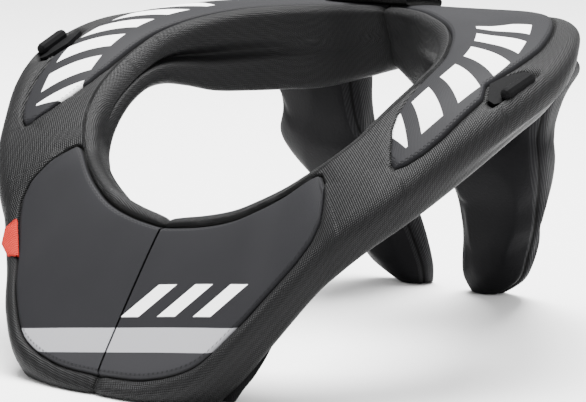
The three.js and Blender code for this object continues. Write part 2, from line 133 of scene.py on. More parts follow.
# The tongue, the webbing and the loop: rings along them, points round them, and their sections
LAP_RINGS = 60
LAP_AROUND = 48
LAP_FLAT_POWER = 0.5
LAP_TALL_POWER = 0.6
STRAP_RINGS = 40
STRAP_AROUND = 40
STRAP_THINNING = 1.7
STRAP_THICKEST = 0.33  # of the way across
STRAP_CLEARANCE = 0.2
PULL_RINGS = 40
PULL_AROUND = 32
PULL_STEP = 0.04  # of a station
PULL_ROOT = 1.5  # how far the loop reaches into the seam
PULL_POWER = 0.5

# The flaps
CLOTH_FRAMES = 20
FLAP_RINGS = 64
FLAP_SOFTEN = 2
FLAP_FACE_STEPS = 22
FLAP_SIDE_STEPS = 5
FLAP_ROUND_STEPS = 6
FLAP_BULGE = 0.04
FLAP_PRESSURE = 4.0
FLAP_MOVE = 3.0
FLAP_GROOVE = 0.8

# The cloths: the length of one thread, rib or stitch, and how far inside the border the stitches are
NET = 2.0
NET_RIB = 4.2
TWILL = 0.9
STITCH = 2.4
STITCH_INSET = 2.1
FLAP_RIB = 1.6
WEBBING_RIB = 1.2
WEBBING_THREAD = 0.7
TONGUE_THREAD = 1.2

# The plain prints. On the chest, in millimetres of height and sideways
SLASH_LEAN = 0.9
BAND_TILT = 0.12
DARK_FIELD = (17, 16.8)
BAND_LEVELS = (17, 27)
BAND_ENDS = (-70, 42)
SLASH_LENGTH = 17
SLASH_SHIFT = 11
SLASH_LEVELS = (31, 44)
SLASH_ENDS = (-29, 16)
# On the shoulders, in stations and shares
BLOCK_LENGTH = 1.15
BLOCK_LEAN = 1.9
BLOCK_SHARES = (0.27, 0.66)
BLOCK_STATIONS = (8.5, 14.6)

# The studio
FLOOR_SIZES = 12  # times the brace's own size
FLOOR_DROP = 0.0005  # metres
WORLD_LIGHT = 0.95

# The photo's camera: angles in degrees, its distance in metres, and the rest in millimetres
CAMERA_BEARING = 36.5
CAMERA_RISE = 10.2
CAMERA_LENS = 172
CAMERA_SENSOR = 36
CAMERA_DISTANCE = 1.33
LOOK_BACK = 11.875  # behind the middle of the neck
LOOK_HEIGHT = 64.6

# turn, side, along, rise, reach, edge, crown, drop, lean, fall, tuck, crease
COLLAR = np.array([
    [0, 0.0, -0.983, 0.481, 0.82, 0.01, 0.02, 0.5, 0.69, 0.5, 0.69, 0],
    [9.5, 0.22, -0.95, 0.497, 0.86, 0.02, 0.02, 0.5, 0.69, 0.6, 0.69, 0],
    [17.5, 0.415, -0.91, 0.522, 0.865, 0.075, 0.02, 0.54, 0.66, 1.0, 0.66, 0],
    [24, 0.56, -0.86, 0.557, 0.792, 0.185, 0.02, 0.57, 0.63, 1.15, 0.56, 0],
    [30, 0.683, -0.797, 0.595, 0.69, 0.3, 0.02, 0.65, 0.58, 1.1, 0.42, 0],
    [43, 0.768, -0.73, 0.63, 0.647, 0.43, 0.08, 0.78, 0.5, 1.05, 0.28, 0],
    [49, 0.83, -0.66, 0.66, 0.68, 0.505, 0.1, 0.9, 0.45, 1.05, 0.22, 0],
    [55, 0.89, -0.588, 0.693, 0.713, 0.563, 0.12, 0.92, 0.42, 1.0, 0.2, 0],
    [63, 0.945, -0.49, 0.731, 0.747, 0.633, 0.15, 0.82, 0.42, 1.05, 0.2, 0],
    [70, 0.98, -0.37, 0.778, 0.79, 0.7, 0.2, 0.75, 0.42, 1.08, 0.22, 0.05],
    [77, 1.0, -0.22, 0.823, 0.86, 0.772, 0.26, 0.72, 0.4, 1.02, 0.2, 0.12],
    [84, 1.01, -0.05, 0.867, 0.925, 0.835, 0.3, 0.82, 0.38, 0.88, 0.18, 0.2],
    [91, 1.0, 0.13, 0.911, 0.95, 0.88, 0.28, 1.15, 0.32, 0.82, 0.18, 0.3],
    [99, 0.94, 0.28, 0.943, 0.98, 0.918, 0.24, 1.55, 0.25, 0.7, 0.18, 0.36],
    [106, 0.84, 0.435, 0.968, 1.0, 0.94, 0.2, 1.95, 0.15, 0.65, 0.2, 0.36],
    [115, 0.695, 0.59, 0.987, 1.03, 0.952, 0.18, 2.15, 0.02, 0.7, 0.22, 0.28],
    [126, 0.51, 0.74, 0.996, 1.02, 0.958, 0.16, 2.2, -0.05, 0.9, 0.22, 0.16],
    [138, 0.33, 0.875, 1.0, 0.89, 0.96, 0.14, 2.2, -0.2, 1.2, 0.2, 0.05],
    [155, 0.16, 0.965, 1.0, 0.67, 0.962, 0.14, 1.98, -0.35, 1.4, 0.15, 0],
    [180, 0.0, 1.0, 1.0, 0.57, 0.962, 0.14, 1.66, -0.6, 1.4, 0.1, 0],
])
LAST = len(COLLAR) - 1

# Seams: station, inner share, outer share
CHEST_SEAMS = np.array([
    [0.0, 0.07, 0.91], [2.0, 0.08, 0.91], [3.0, 0.09, 0.89], [3.7, 0.1, 0.87], [4.5, 0.11, 0.85],
    [4.9, 0.12, 0.81], [5.25, 0.13, 0.71], [5.55, 0.15, 0.5], [5.75, 0.19, 0.32],
])
SHOULDER_SEAMS = np.array([
    [7.9, 0.68, 0.74], [8.2, 0.52, 0.79], [8.7, 0.34, 0.82], [9.3, 0.22, 0.82], [10.0, 0.15, 0.79],
    [10.6, 0.12, 0.77], [11.0, 0.11, 0.68], [11.6, 0.1, 0.7], [12.2, 0.09, 0.73], [13.0, 0.08, 0.78],
    [14.0, 0.08, 0.81], [15.0, 0.08, 0.82], [16.0, 0.09, 0.84], [17.0, 0.11, 0.86], [19.0, 0.17, 0.84],
])
TAB_SEAMS = np.array([
    [10.6, 0.82, 0.88], [10.75, 0.76, 0.94], [11.05, 0.7, 0.95], [11.6, 0.74, 0.95], [11.9, 0.8, 0.92],
])
# offset from the rear split, inner share, outer share, height
LAP = np.array([
    [-1.9, 0.24, 0.6, 0.12], [-1.4, 0.18, 0.66, 0.6], [-0.8, 0.15, 0.7, 0.9], [-0.2, 0.13, 0.72, 1.0],
    [0.3, 0.13, 0.72, 1.05], [0.6, 0.15, 0.7, 1.0], [0.75, 0.17, 0.68, 0.8],
])
# station, near share, far share, height
STRAP = np.array([
    [2.3, 0.03, 0.28, 0.4], [2.55, 0.0, 0.36, 0.85], [2.85, -0.02, 0.4, 1.0], [3.1, 0.0, 0.4, 0.85],
    [3.45, 0.0, 0.36, 0.6], [3.75, 0.02, 0.28, 0.35], [3.95, 0.05, 0.2, 0.12],
])
# level, inner side, outer side, inner back, outer back, inner depth, outer depth
FLAP = np.array([
    [1.0, 0.32, 1.1, 1.08, 1.2, 0.45, 0.45],
    [0.94, 0.25, 1.11, 1.05, 1.27, 0.95, 0.9],
    [0.84, 0.24, 1.02, 1.05, 1.27, 1.05, 1.15],
    [0.7, 0.22, 0.94, 1.08, 1.28, 0.95, 1.25],
    [0.6, 0.205, 0.935, 1.19, 1.24, 0.9, 1.2],
    [0.5, 0.185, 0.885, 1.32, 1.32, 0.85, 0.95],
    [0.4, 0.165, 0.815, 1.46, 1.43, 0.75, 0.6],
    [0.3, 0.15, 0.745, 1.54, 1.52, 0.7, 0.45],
    [0.2, 0.135, 0.665, 1.61, 1.62, 0.65, 0.4],
    [0.1, 0.12, 0.575, 1.67, 1.68, 0.6, 0.38],
    [0.045, 0.13, 0.49, 1.7, 1.72, 0.55, 0.38],
    [0.0, 0.16, 0.35, 1.75, 1.75, 0.5, 0.4],
])


# Shapes


def along_rows(rows, place):
    """Values of a table at fractional rows: the cubic through the four rows round each place, whose
    slope at a row is half the step from the row before to the row after."""
    place = np.asarray(place, float)
    last = len(rows) - 1
    i = np.clip(np.floor(place).astype(int), 0, last - 1)
    f = (place - i)[..., None]
    a, b, c, d = (rows[np.clip(i + k, 0, last)] for k in (-1, 0, 1, 2))
    g, h = f * f, f * f * f
    return (
        b * (2 * h - 3 * g + 1)
        + (c - a) / 2 * (h - 2 * g + f)
        + c * (3 * g - 2 * h)
        + (d - b) / 2 * (h - g)
    )


def seam_at(seams, station):
    """Inner and outer shares of a seam at each station, straight between the rows of its table."""
    return (
        np.interp(station, seams[:, 0], seams[:, 1]),
        np.interp(station, seams[:, 0], seams[:, 2]),
    )


def section(station):
    """Rim, outward direction and sizes of the cross-section at each station, in millimetres."""
    row = along_rows(COLLAR, station)
    turn = np.radians(row[..., 0])
    zero = np.zeros_like(turn)
    return {
        "rim": np.stack(
            [
                SPLIT_GAP / 2 + row[..., 1] * NECK_WIDTH / 2,
                row[..., 2] * NECK_LENGTH / 2 - BACK_SHIFT,
                row[..., 3] * COLLAR_HEIGHT,
            ],
            -1,
        ),
        "out": np.stack([np.sin(turn), -np.cos(turn), zero], -1),
        "reach": row[..., 4] * WING_REACH,
        "sink": (row[..., 3] - row[..., 5]) * COLLAR_HEIGHT,
        "crown": row[..., 6] * FOAM_DEPTH,
        "drop": row[..., 7] * FOAM_DEPTH,
        "lean": row[..., 8] * FOAM_DEPTH,
        "fall": row[..., 9] * FOAM_DEPTH,
        "tuck": row[..., 10] * FOAM_DEPTH,
        "crease": row[..., 11] * FOAM_DEPTH,
    }


def in_space(s, outward, up):
    """A point of a section: the rim, plus a distance outwards, plus a height."""
    point = s["rim"] + s["out"] * outward[..., None]
    return point + UP * up[..., None]


def lower_corners(s):
    """The foot and the heel of the sections: ends of the underside, outwards and up from the rim."""
    foot = np.stack([s["reach"] - s["tuck"], -s["sink"] - s["fall"]], -1)
    return foot, np.stack([-s["lean"], -s["drop"]], -1)


def rings_of(s, outline):
    """Rings of points in space: each section's outline, outwards and up from its rim."""
    return s["rim"][:, None] + s["out"][:, None] * outline[..., :1] + UP * outline[..., 1:]


def top_point(station, share):
    """The top of the foam: a slope from the rim to the outer edge, with a parabola's bulge."""
    station, share = np.broadcast_arrays(np.asarray(station, float), np.asarray(share, float))
    s = section(station)
    return in_space(s, share * s["reach"], -share * s["sink"] + 4 * s["crown"] * share * (1 - share))


def unit(v):
    """Vectors of length 1 in the same directions."""
    return v / np.maximum(np.linalg.norm(v, axis=-1, keepdims=True), 1e-12)


def top_normal(station, share):
    """Outward normal of the top: the cross product of its slopes outwards and along the ring."""
    station, share = np.broadcast_arrays(np.asarray(station, float), np.asarray(share, float))
    step = SLOPE_STEP
    along = top_point(station + step, share) - top_point(station - step, share)
    outwards = top_point(station, share + step) - top_point(station, share - step)
    return unit(np.cross(outwards, along))


def smooth_step(low, high, value):
    """Zero below low, one above high, and a soft S between them."""
    f = np.clip((value - low) / (high - low), 0, 1)
    return f * f * (3 - 2 * f)


def squared(wave, power):
    """A wave between -1 and 1 raised to a power, with its sign kept: it squares off a circle."""
    return np.sign(wave) * np.abs(wave) ** power


def side(start, end, bulge, steps, skip_start, skip_end):
    """One side of every section: a line plus a parabola to its left, short of its round corners."""
    way = end - start
    length = np.linalg.norm(way, axis=-1)[:, None]
    left = np.stack([-way[:, 1], way[:, 0]], -1) / length
    first, last = skip_start[:, None] / length, 1 - skip_end[:, None] / length
    share = first + (last - first) * np.linspace(0, 1, steps + 1)
    swell = 4 * bulge[:, None] * share * (1 - share)
    return start[:, None] + way[:, None] * share[..., None] + left[:, None] * swell[..., None]


def corner(before, point, after, steps):
    """A round corner: the quadratic curve from the end of one side to the start of the next."""
    f = (np.arange(1, steps) / steps)[None, :, None]
    return before[:, None] * (1 - f) ** 2 + point[:, None] * 2 * f * (1 - f) + after[:, None] * f**2


def to_seam(seams, station, share, reach, open_start, open_end):
    """Distance inside a panel's border in millimetres, less than nothing outside it. An open end runs
    on into the other half's panel."""
    inner, outer = seam_at(seams, station)
    first, last = seams[0, 0], seams[-1, 0]
    distance = np.minimum(share - inner, outer - share) * reach
    if not open_start:
        distance = np.minimum(distance, (station - first) * STATION_LENGTH)
    if not open_end:
        distance = np.minimum(distance, (last - station) * STATION_LENGTH)
    return distance


def panel_distance(station, share, reach):
    """Distance inside the nearest panel's border."""
    chest = to_seam(CHEST_SEAMS, station, share, reach, True, False)
    shoulder = to_seam(SHOULDER_SEAMS, station, share, reach, False, True)
    tab = to_seam(TAB_SEAMS, station, share, reach, False, False)
    return np.maximum(np.maximum(chest, shoulder), tab)


def rear_rise(station, share, mirror):
    """How much higher the rear of the wing stands: a bell along the ring, times a soft step
    outwards. Only the wearer's left wing has it."""
    bell = np.exp(-(((station - REAR_RISE_AT) / REAR_RISE_WIDTH) ** 2))
    return (0 if mirror else REAR_RISE) * bell * smooth_step(*REAR_RISE_SHARES, share)


def outward(points, faces):
    """The faces of a closed surface, turned round where they enclose less than nothing: the volume
    is a sixth of the sum of the triple products of their corners, two triangles to a face."""
    a, b, c, d = (points[faces[:, k]] for k in range(4))
    volume = (a * (np.cross(b, c) + np.cross(c, d))).sum() / 6
    return faces if volume > 0 else faces[:, ::-1]


def mesh_object(name, points, faces, material, uv=None, extra=None):
    """A smooth-shaded mesh from an array of points in millimetres and an array of faces. uv is a
    length pair for each point, and extra holds more values for each point by name."""
    faces = outward(points, faces)
    mesh = bpy.data.meshes.new(name)
    count, corners = faces.shape
    mesh.vertices.add(len(points))
    mesh.vertices.foreach_set("co", (points * MM).astype(np.float32).ravel())
    mesh.loops.add(count * corners)
    mesh.loops.foreach_set("vertex_index", faces.astype(np.int32).ravel())
    mesh.polygons.add(count)
    mesh.polygons.foreach_set("loop_start", np.arange(0, count * corners, corners, dtype=np.int32))
    mesh.update(calc_edges=True)
    mesh.validate()
    if uv is not None:
        layer = mesh.uv_layers.new(name="weave")
        order = np.empty(len(mesh.loops), np.int32)
        mesh.loops.foreach_get("vertex_index", order)
        layer.data.foreach_set("uv", (uv[order] * MM).astype(np.float32).ravel())
    for key, values in (extra or {}).items():
        attribute = mesh.attributes.new(key, "FLOAT", "POINT")
        attribute.data.foreach_set("value", values.astype(np.float32).ravel())
    mesh.shade_smooth()
    mesh.materials.append(material)
    piece = bpy.data.objects.new(name, mesh)
    bpy.context.scene.collection.objects.link(piece)
    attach(piece, "root")
    return piece


def ring_faces(rings, count):
    """Faces of a closed tube of rings of points, with a ladder of thin quads across each end."""
    i, j = np.meshgrid(np.arange(rings - 1), np.arange(count), indexing="ij")
    k = (j + 1) % count
    wall = np.stack([i * count + j, i * count + k, (i + 1) * count + k, (i + 1) * count + j], -1)
    half = np.arange(count // 2)
    opposite = count - 1 - half
    cap = np.stack([half[:-1], half[1:], opposite[1:], opposite[:-1]], -1)
    far = (rings - 1) * count + cap[:, ::-1]
    return np.concatenate([wall.reshape(-1, 4)[:, ::-1], cap[:, ::-1], far[:, ::-1]])


def mirrored(points, mirror):
    """The same surface for the wearer's right, where x changes its sign."""
    return points * np.array([-1.0 if mirror else 1.0, 1, 1])


def arc_lengths(rings, start):
    """Lengths in millimetres along the rings and round each ring, from the ring next to start."""
    along = np.linalg.norm(np.diff(rings, axis=0), axis=-1)
    along = np.concatenate([np.zeros((1, rings.shape[1])), np.cumsum(along, 0)])
    along -= along[start]
    loop = np.linalg.norm(np.roll(rings, -1, 1) - rings, axis=-1)
    round_it = np.concatenate([np.zeros((len(rings), 1)), np.cumsum(loop, 1)[:, :-1]], 1)
    return np.stack([along, round_it], -1)


def foam_half(name, mirror, material):
    """One foam half in its mesh cover. At each station the section is four sides with round corners:
    a straight underside, and three lines with a parabola's bulge. Its points then move along the
    surface's normal, by soft steps of the distance to a seam and to the split: in at the pockets of
    the panels and at the split, and out in the rolls. Last, the left wing's rear is raised, nothing
    is left below the floor, and the ends at the split are made flat."""
    station = np.linspace(0, LAST, FOAM_STATIONS)
    s = section(station)
    zero = np.zeros_like(station)
    rim = np.stack([zero, zero], -1)
    edge = np.stack([s["reach"], -s["sink"]], -1)
    foot, heel = lower_corners(s)
    wall = np.minimum(s["fall"], np.linalg.norm(edge - foot, axis=-1))
    neck_length = np.linalg.norm(heel, axis=-1)
    edge_cut = np.minimum(EDGE_ROUND, CORNER_SHARE * wall)
    heel_cut = np.minimum(EDGE_ROUND, CORNER_SHARE * neck_length)
    rim_cut = np.minimum(RIM_ROUND, CORNER_SHARE * neck_length)
    top = side(rim, edge, s["crown"], TOP_STEPS, rim_cut, edge_cut)
    outer = side(edge, foot, WALL_PUFF * wall, OUTER_STEPS, edge_cut, edge_cut)
    under = side(foot, heel, zero, UNDER_STEPS, edge_cut, heel_cut)
    neck = side(heel, rim, NECK_PUFF * neck_length, NECK_STEPS, heel_cut, rim_cut)
    up_wall = np.linspace(0, 1, NECK_STEPS + 1)
    neck[..., 0] += s["crease"][:, None] * np.exp(-(((up_wall - 0.5) / FOLD_WIDTH) ** 2))
    outline = np.concatenate(
        [
            top,
            corner(top[:, -1], edge, outer[:, 0], ROUND_STEPS),
            outer,
            corner(outer[:, -1], foot, under[:, 0], ROUND_STEPS),
            under,
            corner(under[:, -1], heel, neck[:, 0], ROUND_STEPS),
            neck,
            corner(neck[:, -1], rim, top[:, 0], ROUND_STEPS),
        ],
        1,
    )
    count = outline.shape[1]
    rings = rings_of(s, outline)
    share = outline[..., 0] / s["reach"][:, None]
    index = np.arange(count)
    reach = np.hypot(s["reach"], s["sink"])[:, None]
    on_top = index <= TOP_STEPS
    distance = np.where(on_top, panel_distance(station[:, None], share, reach), -FAR)
    ends = np.minimum(station, LAST - station)[:, None] * STATION_LENGTH
    across = np.roll(rings, -1, 1) - np.roll(rings, 1, 1)
    along = np.gradient(rings, axis=0)
    normal = unit(np.cross(across, along))
    at_split = 1 - smooth_step(0, SPLIT_WIDTH, ends)
    lift = -POCKET_DEPTH * smooth_step(*POCKET_WALL, distance)
    lift += ROLL_PUFF * smooth_step(0, ROLL_WIDTH, -distance) * smooth_step(0, ROLL_END, ends)
    lift -= SPLIT_ROUND * at_split
    # The roll along the wing's edge is fullest at the round corner of the top and the outer side
    on_wing = smooth_step(*EDGE_GROWS, station) * (1 - smooth_step(*EDGE_FADES, station))
    on_edge = smooth_step(*EDGE_STARTS, index)
    on_edge *= 1 - smooth_step(*EDGE_ENDS, index)
    lift += EDGE_PUFF * on_wing[:, None] * on_edge * smooth_step(*EDGE_FROM_SEAM, -distance)
    rings = rings + normal * lift[..., None]
    rings[..., 2] += rear_rise(station[:, None], share, mirror)
    rings[..., 2] = np.maximum(rings[..., 2], FLOOR_CLEARANCE)
    # Both ends become flat and stand close to the middle, each line of points moved by its own gap
    end_place = np.where(station[:, None] < LAST / 2, rings[:1, :, 0], rings[-1:, :, 0])
    rings[..., 0] -= (end_place - SPLIT_TOUCH) * at_split
    uv = arc_lengths(rings, int(FOAM_STATIONS * WEAVE_START / LAST))
    points, faces = mirrored(rings.reshape(-1, 3), mirror), ring_faces(len(station), count)
    extra = {"seam": np.clip(distance, -FAR, FAR), "end": np.clip(ends + 0 * distance, 0, FAR)}
    return mesh_object(name, points, faces, material, uv.reshape(-1, 2), extra)


def panel(name, seams, open_start, open_end, mirror, material, along_steps):
    """A smooth panel let into the foam. Its height over the top is a level, less a bell at the border,
    plus a swelling that levels off inwards. Its underside lies at the bottom of the pocket."""
    station = np.linspace(seams[0, 0], seams[-1, 0], along_steps)[:, None]
    inner, outer = seam_at(seams, station)
    across = (1 - np.cos(np.pi * np.linspace(0, 1, PANEL_STEPS)))[None] / 2
    share = inner + (outer - inner) * across
    s = section(station[:, 0])
    reach = np.hypot(s["reach"], s["sink"])[:, None]
    distance = np.maximum(to_seam(seams, station, share, reach, open_start, open_end), 0)
    height = PANEL_PROUD - PANEL_DIP * np.exp(-((distance / SEAM_WIDTH) ** 2))
    height += PANEL_PUFF * (1 - np.exp(-distance / PANEL_PUFF_WIDTH))
    base = top_point(station, share)
    normal = top_normal(station, share)
    high = base + normal * height[..., None]
    low = base - normal * POCKET_DEPTH
    rings = np.concatenate([high, low[:, ::-1]], 1)
    rise = rear_rise(station, share, mirror)
    rings[..., 2] += np.concatenate([rise, rise[:, ::-1]], 1)
    uv = arc_lengths(rings, 0)
    uv[..., 1] = (share - 0.5)[:, np.r_[0:PANEL_STEPS, PANEL_STEPS - 1 : -1 : -1]] * reach
    points, faces = mirrored(rings.reshape(-1, 3), mirror), ring_faces(len(rings), rings.shape[1])
    seam = np.concatenate([distance, distance[:, ::-1]], 1)
    extra = {
        "seam": np.clip(seam, 0, FAR),
        "station": np.broadcast_to(station, seam.shape),
        "share": np.concatenate([share, share[:, ::-1]], 1),
    }
    return mesh_object(name, points, faces, material, uv.reshape(-1, 2), extra)


def rear_tongue(material):
    """The tongue at the back: a thick pad that lies over the split on both panels. Its section, a
    circle squared off by powers of its sine and cosine, is carried along the rows of its table."""
    place = np.linspace(0, len(LAP) - 1, LAP_RINGS)
    row = along_rows(LAP, place)
    station = LAST - np.abs(row[:, :1])
    mirror = np.where(row[:, :1] < 0, -1, 1)
    turn = np.linspace(0, 2 * np.pi, LAP_AROUND, endpoint=False)
    flat, tall = squared(np.cos(turn), LAP_FLAT_POWER), squared(np.sin(turn), LAP_TALL_POWER)
    across = (1 + flat[None]) / 2
    share = row[:, 1:2] + (row[:, 2:3] - row[:, 1:2]) * across
    height = LAP_LIFT + LAP_THICKNESS * row[:, 3:4] * (0.5 + tall / 2)
    rings = top_point(station, share) + top_normal(station, share) * height[..., None]
    rings[..., 0] *= mirror
    uv = arc_lengths(rings, 0).reshape(-1, 2)
    faces = ring_faces(len(place), len(turn))
    extra = {
        "end": np.broadcast_to((len(LAP) - 1 - place)[:, None], height.shape),
        "border": np.broadcast_to(np.maximum(np.abs(flat), (tall < 0) * 1.0), height.shape),
    }
    return mesh_object(
        "rear_tongue", rings.reshape(-1, 3), faces, material, uv, extra
    )


def webbing_strap(material):
    """The folded webbing under the left chest part: an ellipse, thickest towards the foot, carried
    along the underside of the foam."""
    place = np.linspace(0, len(STRAP) - 1, STRAP_RINGS)
    row = along_rows(STRAP, place)
    s = section(row[:, 0])
    foot, heel = (point[:, None] for point in lower_corners(s))
    down = unit(np.stack([-(heel - foot)[..., 1], (heel - foot)[..., 0]], -1))
    turn = np.linspace(0, 2 * np.pi, STRAP_AROUND, endpoint=False)
    across = (1 + np.cos(turn))[None] / 2
    share = row[:, 1:2] + (row[:, 2:3] - row[:, 1:2]) * across
    belly = 1 - STRAP_THINNING * (across - STRAP_THICKEST) ** 2
    away = STRAP_LIFT + row[:, 3:4] * STRAP_THICKNESS * belly * (0.5 + np.sin(turn)[None] / 2)
    flat = foot + (heel - foot) * share[..., None] + down * away[..., None]
    rings = rings_of(s, flat)
    rings[..., 2] = np.maximum(rings[..., 2], STRAP_CLEARANCE)
    uv = arc_lengths(rings, 0).reshape(-1, 2)
    faces = ring_faces(len(place), len(turn))
    return mesh_object("webbing_fold", rings.reshape(-1, 3), faces, material, uv)


def red_loop(material):
    """The red loop: webbing folded over itself, which stands out of the seam at the chest's edge. A
    flattened circle goes along the seam, as wide at each place as its table says."""
    place = np.linspace(0, 1, PULL_RINGS)
    station, share = PULL_STATION, PULL_SHARE
    normal = top_normal(station, share)
    along = top_point(station + PULL_STEP, share) - top_point(station - PULL_STEP, share)
    along = unit(along - normal * (along * normal).sum())
    across = np.cross(normal, along)
    length = np.interp(place, PULL_PLACE, PULL_ALONG) * PULL_LENGTH / 2
    reach = np.interp(place, PULL_PLACE, PULL_OUT) * PULL_REACH
    turn = np.linspace(0, 2 * np.pi, PULL_AROUND, endpoint=False)
    outwards = (reach[:, None] + PULL_ROOT) * (1 + np.cos(turn))[None] / 2 - PULL_ROOT
    thick = PULL_THICKNESS / 2 * squared(np.sin(turn), PULL_POWER)
    rings = (
        top_point(station, share)
        + along * length[:, None, None]
        - across * outwards[..., None]
        + normal * (thick[None, :, None] + np.zeros_like(outwards)[..., None])
    )
    points = mirrored(rings.reshape(-1, 3), True)
    uv = arc_lengths(rings, 0).reshape(-1, 2)
    faces = ring_faces(len(place), len(turn))
    return mesh_object("red_loop", points, faces, material, uv)


def soften(values, width):
    """Each column smoothed along its rows by a moving average; the first and last rows stay."""
    padded = np.pad(values, ((width, width), (0, 0)), mode="reflect", reflect_type="odd")
    window = np.ones(2 * width + 1) / (2 * width + 1)
    return np.stack([np.convolve(column, window, "valid") for column in padded.T], 1)


def flap_surface(mirror):
    """Points, faces, weave lengths and seam distances of a flap: level sections with four round
    corners, where a seam runs down the middle of every corner."""
    place = np.linspace(0, len(FLAP) - 1, FLAP_RINGS)
    row = along_rows(FLAP, place)
    row[:, 1:] = soften(row[:, 1:], FLAP_SOFTEN)
    inner = np.stack([row[:, 1] * FLAP_WIDTH, row[:, 3] * NECK_LENGTH / 2 - BACK_SHIFT], -1)
    outer = np.stack([row[:, 2] * FLAP_WIDTH, row[:, 4] * NECK_LENGTH / 2 - BACK_SHIFT], -1)
    across = unit(outer - inner)
    backwards = np.stack([-across[:, 1], across[:, 0]], -1)
    inner_rear = inner + backwards * row[:, 5:6] * FLAP_DEPTH
    outer_rear = outer + backwards * row[:, 6:7] * FLAP_DEPTH
    inner_cut = CORNER_SHARE * row[:, 5] * FLAP_DEPTH
    outer_cut = CORNER_SHARE * row[:, 6] * FLAP_DEPTH
    zero = np.zeros(len(place))
    bulge = zero - FLAP_BULGE * FLAP_WIDTH
    face = side(inner, outer, bulge, FLAP_FACE_STEPS, inner_cut, outer_cut)
    strip = side(outer, outer_rear, zero, FLAP_SIDE_STEPS, outer_cut, outer_cut)
    rear = side(outer_rear, inner_rear, bulge / 2, FLAP_FACE_STEPS, outer_cut, inner_cut)
    slot = side(inner_rear, inner, zero, FLAP_SIDE_STEPS, inner_cut, inner_cut)
    pieces, seams, strips = [], [], []
    sides = [(face, outer, strip), (strip, outer_rear, rear), (rear, inner_rear, slot)]
    for this, point, following in [*sides, (slot, inner, face)]:
        pieces += [this, corner(this[:, -1], point, following[:, 0], FLAP_ROUND_STEPS)]
        seams.append(sum(p.shape[1] for p in pieces) - FLAP_ROUND_STEPS // 2)
        strips += [float(this is strip or this is slot)] * this.shape[1]
        strips += [0.5] * (FLAP_ROUND_STEPS - 1)
    outline = np.concatenate(pieces, 1)
    level = np.maximum(row[:, :1] * FLAP_HEIGHT + 0 * outline[..., 0], FLOOR_CLEARANCE)
    rings = np.concatenate([outline, level[..., None]], -1)
    uv = arc_lengths(rings, 0)
    around = uv[..., 1]
    whole = around[:, -1:] + 1
    gaps = [np.abs(around - around[:, k % around.shape[1]][:, None]) for k in seams]
    distance = np.min([np.minimum(gap, whole - gap) for gap in gaps], 0)
    points, faces = mirrored(rings.reshape(-1, 3), mirror), ring_faces(*distance.shape)
    extra = {"seam": np.clip(distance, 0, FAR), "strip": np.broadcast_to(strips, distance.shape)}
    return points, faces, uv.reshape(-1, 2), extra


def soft_flap(name, mirror, material, node):
    """A flap filled with foam: its cover is blown up a little as cloth, held to a few millimetres of
    movement, made smooth, and drawn in along its seams by a bell of the distance to them."""
    points, faces, uv, extra = flap_surface(mirror)
    piece = mesh_object(name, points, faces, material, uv, extra)
    bpy.context.view_layer.objects.active = piece
    before = points_of(piece.data)
    cloth = piece.modifiers.new("cloth", "CLOTH")
    cloth.settings.use_pressure = True
    cloth.settings.uniform_pressure_force = FLAP_PRESSURE
    cloth.settings.effector_weights.gravity = 0
    scene = bpy.context.scene
    for step in range(1, CLOTH_FRAMES + 1):
        scene.frame_set(step)
    apply_modifiers(piece)
    scene.frame_set(1)
    move = points_of(piece.data) - before
    size = np.linalg.norm(move, axis=1, keepdims=True)
    move *= np.minimum(1, FLAP_MOVE * MM / np.maximum(size, 1e-9))
    write_points(piece.data, before + move)
    smooth = piece.modifiers.new("smooth", "SUBSURF")
    smooth.levels = smooth.render_levels = 1
    apply_modifiers(piece)
    mesh = piece.data
    distance = np.empty(len(mesh.vertices), np.float32)
    mesh.attributes["seam"].data.foreach_get("value", distance)
    normals = np.empty(len(mesh.vertices) * 3, np.float32)
    mesh.vertices.foreach_get("normal", normals)
    groove = np.exp(-((distance / SEAM_WIDTH) ** 2)) * FLAP_GROOVE * MM
    points = points_of(mesh) - normals.reshape(-1, 3) * groove[:, None]
    points[:, 2] = np.maximum(points[:, 2], FLOOR_CLEARANCE * MM)
    write_points(mesh, points)
    mesh.shade_smooth()
    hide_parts(node)
    return piece


def apply_modifiers(piece):
    """Puts the modifiers' result into the object's own mesh."""
    depsgraph = bpy.context.evaluated_depsgraph_get()
    mesh = bpy.data.meshes.new_from_object(piece.evaluated_get(depsgraph))
    piece.modifiers.clear()
    piece.data = mesh


def points_of(mesh):
    """The mesh's points in metres, a row to a point."""
    points = np.empty(len(mesh.vertices) * 3, np.float32)
    mesh.vertices.foreach_get("co", points)
    return points.reshape(-1, 3)


def write_points(mesh, points):
    """Moves the mesh's points to the rows of an array."""
    mesh.vertices.foreach_set("co", points.astype(np.float32).ravel())
    mesh.update()


# Materials


class Value:
    """A shader socket that takes part in sums, so that a formula reads as one."""

    def __init__(self, surface, socket):
        self.surface, self.socket = surface, socket

    def math(self, operation, *inputs):
        return self.surface.node("ShaderNodeMath", {"operation": operation}, inputs)

    def __add__(self, other):
        return self.math("ADD", self, other)

    def __sub__(self, other):
        return self.math("SUBTRACT", self, other)

    def __mul__(self, other):
        return self.math("MULTIPLY", self, other)

    def __truediv__(self, other):
        return self.math("DIVIDE", self, other)

    def __radd__(self, other):
        return self.math("ADD", other, self)

    def __rsub__(self, other):
        return self.math("SUBTRACT", other, self)

    def __rmul__(self, other):
        return self.math("MULTIPLY", other, self)

    def __neg__(self):
        return self * -1

    def __abs__(self):
        return self.math("ABSOLUTE", self)

    def step(self, low, high):
        """Zero at low and one at high, with a soft S between them."""
        settings = {"interpolation_type": "SMOOTHSTEP"}
        return self.surface.node("ShaderNodeMapRange", settings, (self, low, high, 0.0, 1.0))

    def between(self, low, high, soft):
        """One between two limits and zero outside them, with a soft border."""
        return self.step(low, low + soft) * self.step(high, high - soft)


